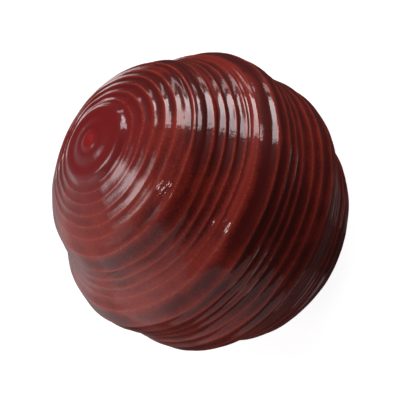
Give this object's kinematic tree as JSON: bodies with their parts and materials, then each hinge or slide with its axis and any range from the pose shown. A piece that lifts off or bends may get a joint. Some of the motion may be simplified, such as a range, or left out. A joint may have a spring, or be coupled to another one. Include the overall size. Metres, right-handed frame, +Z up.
{
  "type": "ceramic ball",
  "caption": "Hollow wheel-thrown ceramic ball of lawn-bowl size with throwing ridges, a glossy oxblood glaze, an unglazed foot ring and a vent hole.",
  "frame": {"origin": "centre of the foot ring, on the surface that the ball stands on", "axes": "+Z up the throwing axis, from the foot ring to the closed pole; X and Y are free, because the solids are round about Z"},
  "size_m": [0.124, 0.124, 0.1258],
  "materials": {
    "oxblood_glaze": "glossy, rust on the ridge crests",
    "stoneware": "unglazed, fired",
    "slip": "unglazed, fired"
  },
  "bodies": {
    "root": {"upper_shell": "stoneware", "lower_shell": "stoneware", "seam_slip": "slip", "seam_coil": "stoneware", "glaze_coat": "oxblood_glaze"}
  },
  "joints": []
}
